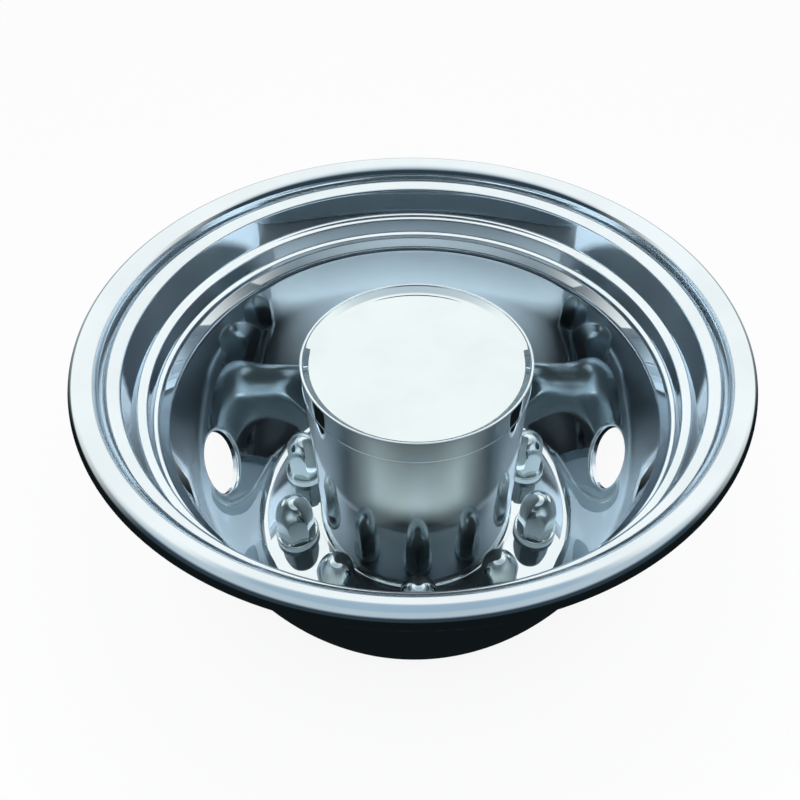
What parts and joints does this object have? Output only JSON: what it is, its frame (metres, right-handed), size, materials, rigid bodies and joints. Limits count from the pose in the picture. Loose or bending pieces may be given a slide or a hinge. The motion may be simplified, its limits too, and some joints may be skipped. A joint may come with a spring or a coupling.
{
  "type": "truck wheel simulator",
  "caption": "Deep spun stainless wheel liner with a rolled lip, stepped wall, hand holes, domed nut covers and a capped sleeve over the axle hub.",
  "frame": {"origin": "on the axle's line, at the back of the flange that lies against the wheel disc", "axes": "+Z along the axle, out of the open side of the dish; -Y towards the picture's near side"},
  "size_m": [0.58, 0.58, 0.3029],
  "materials": {
    "liner_steel": "mirror-polished stainless steel sheet",
    "hub_steel": "mirror-polished stainless steel sheet",
    "cover_chrome": "bright chrome plating"
  },
  "bodies": {
    "root": {"wheel_liner": "liner_steel", "hub_sleeve": "hub_steel", "hub_cap": "hub_steel", "nut_cover_01": "cover_chrome", "nut_cover_02": "cover_chrome", "nut_cover_03": "cover_chrome", "nut_cover_04": "cover_chrome", "nut_cover_05": "cover_chrome", "nut_cover_06": "cover_chrome", "nut_cover_07": "cover_chrome", "nut_cover_08": "cover_chrome", "nut_cover_09": "cover_chrome", "nut_cover_10": "cover_chrome"}
  },
  "joints": []
}
